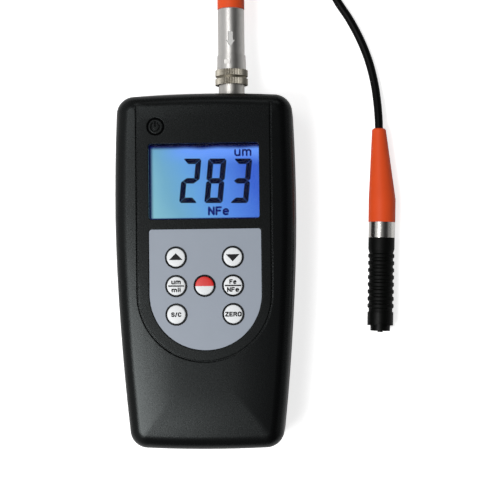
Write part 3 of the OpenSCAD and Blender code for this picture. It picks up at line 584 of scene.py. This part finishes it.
def prism(name, outlines, low, high, look, body):
    """One piece made of upright prisms over the given outlines, all in millimetres."""
    mesh = bpy.data.meshes.new(name)
    bm = bmesh.new()
    for outline in outlines:
        bottom = [bm.verts.new((x * MM, y * MM, low * MM)) for x, y in outline]
        top = [bm.verts.new((x * MM, y * MM, high * MM)) for x, y in outline]
        bm.faces.new(bottom[::-1])
        bm.faces.new(top)
        for i in range(len(outline)):
            j = (i + 1) % len(outline)
            bm.faces.new((bottom[i], bottom[j], top[j], top[i]))
    bmesh.ops.recalc_face_normals(bm, faces=bm.faces)
    bm.to_mesh(mesh)
    bm.free()
    mesh.materials.append(look)
    piece = bpy.data.objects.new(name, mesh)
    scene.collection.objects.link(piece)
    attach(piece, body)
    return piece


# Pen strokes of the letters, on a grid 6 units high
STROKES = {
    "u": [[(0, 4), (0, 1), (0.8, 0), (2.2, 0), (3, 1)], [(3, 4), (3, 0)]],
    "m": [[(0, 0), (0, 4)], [(0, 3), (0.8, 4), (1.8, 4), (2.5, 3.2), (2.5, 0)],
          [(2.5, 3.2), (3.3, 4), (4.2, 4), (5, 3.2), (5, 0)]],
    "i": [[(0, 0), (0, 4)], [(0, 5.4), (0, 6)]],
    "l": [[(0, 0), (0, 6)]],
    "F": [[(0, 0), (0, 6), (3.4, 6)], [(0, 3.2), (2.8, 3.2)]],
    "e": [[(0, 2.3), (3.3, 2.3), (3.3, 3.1), (2.4, 4.3), (0.9, 4.3), (0, 3.2), (0, 1.1), (0.9, 0),
           (2.9, 0.1)]],
    "N": [[(0, 0), (0, 6), (3.6, 0), (3.6, 6)]],
    "S": [[(3.4, 5), (2.6, 6), (0.9, 6), (0, 5.2), (0, 4), (0.8, 3.2), (2.7, 2.8), (3.4, 2), (3.4, 0.9),
           (2.6, 0), (0.8, 0), (0, 0.9)]],
    "/": [[(0, -0.3), (1.8, 6.3)]],
    "C": [[(3.4, 4.8), (2.6, 6), (1, 6), (0, 4.9), (0, 1.1), (1, 0), (2.6, 0), (3.4, 1.2)]],
    "Z": [[(0, 6), (3.6, 6), (0, 0), (3.7, 0)]],
    "E": [[(3.4, 6), (0, 6), (0, 0), (3.5, 0)], [(0, 3.1), (3, 3.1)]],
    "R": [[(0, 0), (0, 6), (2.5, 6), (3.4, 5.2), (3.4, 3.9), (2.5, 3.1), (0, 3.1)], [(1.9, 3.1), (3.6, 0)]],
    "O": [[(1.1, 0), (0, 1.2), (0, 4.8), (1.1, 6), (2.7, 6), (3.8, 4.8), (3.8, 1.2), (2.7, 0), (1.1, 0)]],
}


def lettering(words, middle, size, stroke):
    """Outlines of plain stroke letters that fill a box of the given width and height, in millimetres."""
    lines, pen, gap = [], 0.0, 2
    for letter in words:
        shape = STROKES[letter]
        wide = max(x for line in shape for x, _ in line)
        lines += [[(x + pen, y) for x, y in line] for line in shape]
        pen += wide + gap
    low_y = min(y for line in lines for _, y in line)
    high_y = max(y for line in lines for _, y in line)
    scale_x = (size[0] - stroke) / (pen - gap)
    scale_y = (size[1] - stroke) / (high_y - low_y)
    half = stroke / 2
    corners = [math.radians(45 * k) for k in range(8)]
    outlines = []
    for line in lines:
        points = [Vector((middle[0] - size[0] / 2 + half + x * scale_x,
                          middle[1] - size[1] / 2 + half + (y - low_y) * scale_y)) for x, y in line]
        for a, b in zip(points, points[1:]):
            side = (b - a).normalized().orthogonal() * half
            outlines.append([a - side, b - side, b + side, a + side])
        for p in points:
            outlines.append([(p.x + half * math.cos(a), p.y + half * math.sin(a)) for a in corners])
    return outlines


# Display figures


def segments(half_w, half_h, t, gap, cut):
    """The seven strokes of one figure, around its middle."""
    top = [(-half_w + cut, half_h), (half_w - cut, half_h), (half_w - cut / 2 - gap, half_h - cut / 2),
           (half_w - t - gap, half_h - t), (-half_w + t + gap, half_h - t),
           (-half_w + cut / 2 + gap, half_h - cut / 2)]
    right = [(half_w - t, half_h - t - gap), (half_w - cut / 2, half_h - cut / 2 - gap),
             (half_w, half_h - cut), (half_w, cut + gap), (half_w - cut, gap), (half_w - t, t / 2 + gap)]
    bar = [(-half_w + cut + gap, 0), (-half_w + t + gap, t / 2), (half_w - t - gap, t / 2),
           (half_w - cut - gap, 0), (half_w - t - gap, -t / 2), (-half_w + t + gap, -t / 2)]

    def flip(shape, sx, sy):
        return [(sx * x, sy * y) for x, y in shape]

    return {"a": top, "b": right, "c": flip(right, 1, -1), "d": flip(top, 1, -1), "e": flip(right, -1, -1),
            "f": flip(right, -1, 1), "g": bar}


def display_figures():
    """The reading and its two words, a thin layer on the panel."""
    low = box_mm("lcd_panel")[1][2]
    high = low + 0.03
    middle_y, lean, turn = 31.88, 0.088, math.radians(-0.85)
    shapes = segments(3.25, 7.9, 1.94, 0.05, 0.62)
    for number, (x, lit) in enumerate([(-5.15, "abged"), (3.8, "abcdefg"), (12.9, "abgcd")], 1):
        outlines = []
        for key in lit:
            placed = []
            for px, py in shapes[key]:
                sx, sy = x + px + lean * py, py
                placed.append((sx * math.cos(turn) - sy * math.sin(turn),
                               middle_y + sx * math.sin(turn) + sy * math.cos(turn)))
            outlines.append(placed)
        prism(f"display_figure_{number}", outlines, low, high, lcd_ink, "gauge")
    for name, words, middle, size, stroke in (
            ("display_unit", "um", (13.65, 41.7), (6.1, 2.5), 0.62),
            ("display_metal", "NFe", (4.8, 21.15), (7.5, 3.2), 0.72)):
        prism(name, lettering(words, middle, size, stroke), low, high, lcd_text_ink, "gauge")


display_figures()


# Marks on the keys and the face plate

INK_SUNK, INK_PROUD = 0.1, 0.02


def printed(name, outlines, node, body):
    """Black print on the top of a node."""
    top = box_mm(node)[1][2]
    prism(name, outlines, top - INK_SUNK, top + INK_PROUD, key_ink, body)


def key_marks():
    x, y, _ = middle_of("key_plus")
    arrow = [(x - 2.4, y - 0.88), (x + 2.4, y - 0.88), (x, y + 1.5)]
    printed("mark_plus", [arrow], "key_plus", "key_plus")
    x, y, _ = middle_of("key_minus")
    arrow = [(x - 2.4, y + 0.95), (x, y - 1.55), (x + 2.4, y + 0.95)]
    printed("mark_minus", [arrow], "key_minus", "key_minus")
    half_bar = 0.24
    for key, half in (("key_unit", 2.75), ("key_metal", 2.85)):
        x, y, _ = middle_of(key)
        bar = [(x - half, y - half_bar), (x + half, y - half_bar),
               (x + half, y + half_bar), (x - half, y + half_bar)]
        printed(f"mark_bar_{key}", [bar], key, key)
    for name, words, key, up, size, stroke in (
            ("mark_um", "um", "key_unit", 1.25, (3.3, 1.35), 0.4),
            ("mark_mil", "mil", "key_unit", -1.35, (3.2, 1.65), 0.4),
            ("mark_fe", "Fe", "key_metal", 1.35, (2.5, 1.65), 0.38),
            ("mark_nfe", "NFe", "key_metal", -1.4, (4.2, 1.7), 0.39),
            ("mark_mode", "S/C", "key_mode", 0, (3.6, 1.7), 0.39),
            ("mark_zero", "ZERO", "key_zero", 0, (5.8, 1.7), 0.41)):
        x, y, _ = middle_of(key)
        printed(name, lettering(words, (x, y + up), size, stroke), key, key)


def key_rings():
    """Dark ring round each key hole of the face plate."""
    inner, outer, count = 3.76, 3.94, 48
    turns = [(math.cos(math.tau * k / count), math.sin(math.tau * k / count)) for k in range(count + 1)]
    outlines = []
    for key in ("plus", "unit", "mode", "minus", "metal", "zero", "power"):
        x, y, _ = middle_of(f"key_{key}")
        for (c, n), (c2, n2) in zip(turns, turns[1:]):
            outlines.append([(x + inner * c, y + inner * n), (x + outer * c, y + outer * n),
                             (x + outer * c2, y + outer * n2), (x + inner * c2, y + inner * n2)])
    printed("key_rings", outlines, "keypad_overlay", "gauge")


key_marks()
key_rings()


# Stage: pale floor, soft light from the left, dim room


def white_to_view(tree):
    """Two shares: 1 for what the camera sees, through clear plastic too, and 1 for what metal mirrors."""
    path = tree.nodes.new("ShaderNodeLightPath")
    seen = math_node(tree, "MAXIMUM", path.outputs["Is Camera Ray"], path.outputs["Is Transmission Ray"])
    return seen, path.outputs["Is Glossy Ray"]


def make_floor():
    bpy.ops.mesh.primitive_plane_add(size=8, location=(0, 0, -0.0003))
    floor = bpy.context.object
    floor.name = "floor"
    m, tree, shader = material("pale_floor")
    shader.inputs["Base Color"].default_value = (0.8, 0.8, 0.8, 1)
    shader.inputs["Roughness"].default_value = 0.9
    shader.inputs["Specular IOR Level"].default_value = 0.1
    shader.inputs["Emission Color"].default_value = (1, 1, 1, 1)
    seen, glossy = white_to_view(tree)
    share = math_node(tree, "MULTIPLY", seen, 0.76)
    share = math_node(tree, "ADD", share, math_node(tree, "MULTIPLY", glossy, 0.12))
    tree.links.new(share, shader.inputs["Emission Strength"])
    floor.data.materials.append(m)


def make_room():
    world = bpy.data.worlds.new("room")
    scene.world = world
    world.use_nodes = True
    tree = world.node_tree
    back = tree.nodes["Background"]
    coords = tree.nodes.new("ShaderNodeTexCoord")
    split = tree.nodes.new("ShaderNodeSeparateXYZ")
    tree.links.new(coords.outputs["Generated"], split.inputs[0])
    side = tree.nodes.new("ShaderNodeMapRange")
    side.inputs["From Min"].default_value = -1
    tree.links.new(split.outputs["X"], side.inputs["Value"])
    levels = [(0.0, 0.6), (0.25, 0.5), (0.41, 0.18), (0.53, 0.12), (0.64, 0.02), (0.86, 0.02), (0.95, 0.3)]
    room = colour_ramp(tree, side.outputs["Result"], [(at, (v, v, v, 1)) for at, v in levels])
    seen, _ = white_to_view(tree)
    tree.links.new(mix(tree, seen, room, (1, 1, 1, 1)), back.inputs["Color"])


def softbox(name, place, target, width, height, power):
    data = bpy.data.lights.new(name, "AREA")
    data.shape = "RECTANGLE"
    data.size = width
    data.size_y = height
    data.energy = power
    lamp = bpy.data.objects.new(name, data)
    aim = (Vector(target) - Vector(place)).normalized()
    lamp.matrix_world = Matrix.Translation(place) @ aim.to_track_quat("-Z", "Y").to_matrix().to_4x4()
    scene.collection.objects.link(lamp)


make_floor()
make_room()
softbox("softbox_left", (-0.305, -0.195, 0.8), (0.0, 0.0, 0.0), 0.34, 0.28, 4.35)
softbox("softbox_top", (0.1, 0.9, 0.7), (0.0, 0.05, 0.0), 0.6, 0.3, 0.6)
softbox("softbox_fill", (-0.27, 0.27, 0.8), (0.0, 0.05, 0.0), 0.3, 0.2, 0.8)
